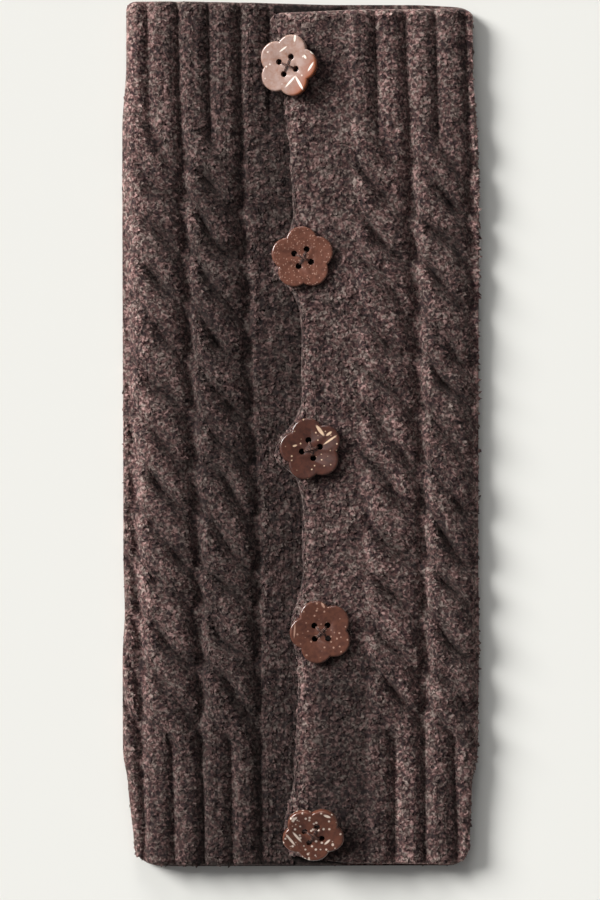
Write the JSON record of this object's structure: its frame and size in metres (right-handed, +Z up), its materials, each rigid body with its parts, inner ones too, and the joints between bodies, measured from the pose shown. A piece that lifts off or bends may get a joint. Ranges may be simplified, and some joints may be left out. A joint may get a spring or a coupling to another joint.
{
  "type": "knitted leg warmer",
  "caption": "Cable-knit wool leg warmer laid flat, with ribbed cuffs and a lapped front closed by flower-shaped coconut-shell buttons.",
  "frame": {"origin": "middle of the flat underside, on the surface that the leg warmer lies on", "axes": "+X across the leg warmer to the flap's side, +Y along it to the top hem, +Z up out of the surface, through the buttoned front"},
  "size_m": [0.125, 0.303, 0.0178],
  "materials": {
    "wool_knit": "felted heather wool, matt with a short nap",
    "coconut_shell": "polished coconut shell with pale flecks"
  },
  "bodies": {
    "root": {"wrap_panel": "wool_knit", "button_1": "coconut_shell", "button_2": "coconut_shell", "button_3": "coconut_shell", "button_4": "coconut_shell", "button_5": "coconut_shell"}
  },
  "joints": []
}
